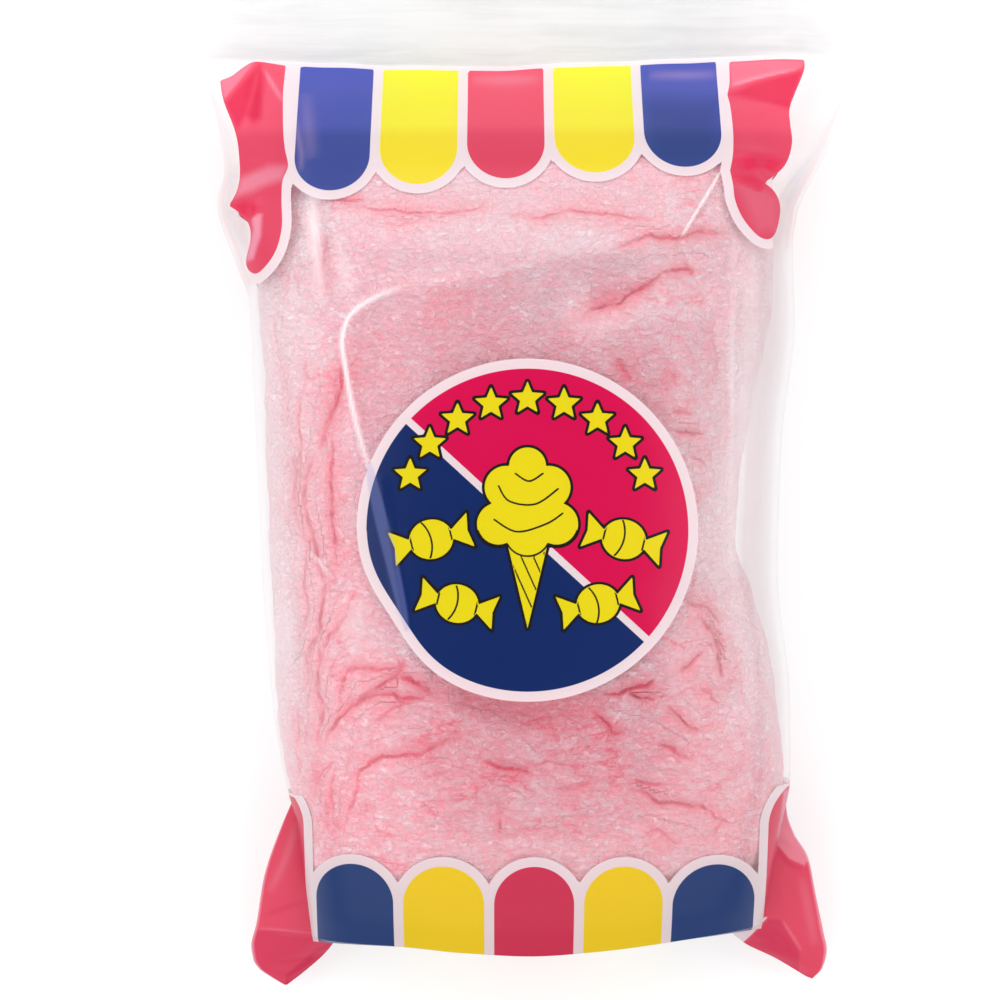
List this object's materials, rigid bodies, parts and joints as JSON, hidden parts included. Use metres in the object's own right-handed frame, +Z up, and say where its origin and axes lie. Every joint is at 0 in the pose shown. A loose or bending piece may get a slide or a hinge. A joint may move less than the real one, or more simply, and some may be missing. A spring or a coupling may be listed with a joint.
{
  "type": "bag of cotton candy",
  "caption": "Shut clear film bag filled with pressed pink cotton candy, lying on its back, with a striped awning print at both ends and a round two-colour label.",
  "frame": {"origin": "on the floor under the middle of the whole bag", "axes": "+X to the bag's right, +Y towards its flat header, +Z up from the floor through the shown side"},
  "size_m": [0.234, 0.3489, 0.079],
  "materials": {
    "film": "clear glossy film",
    "print": "glossy opaque print on film, in red, blue, yellow and white",
    "candy": "matt pink spun sugar, fibrous and creased"
  },
  "bodies": {
    "root": {"sealed_bag": "film"}
  },
  "joints": []
}
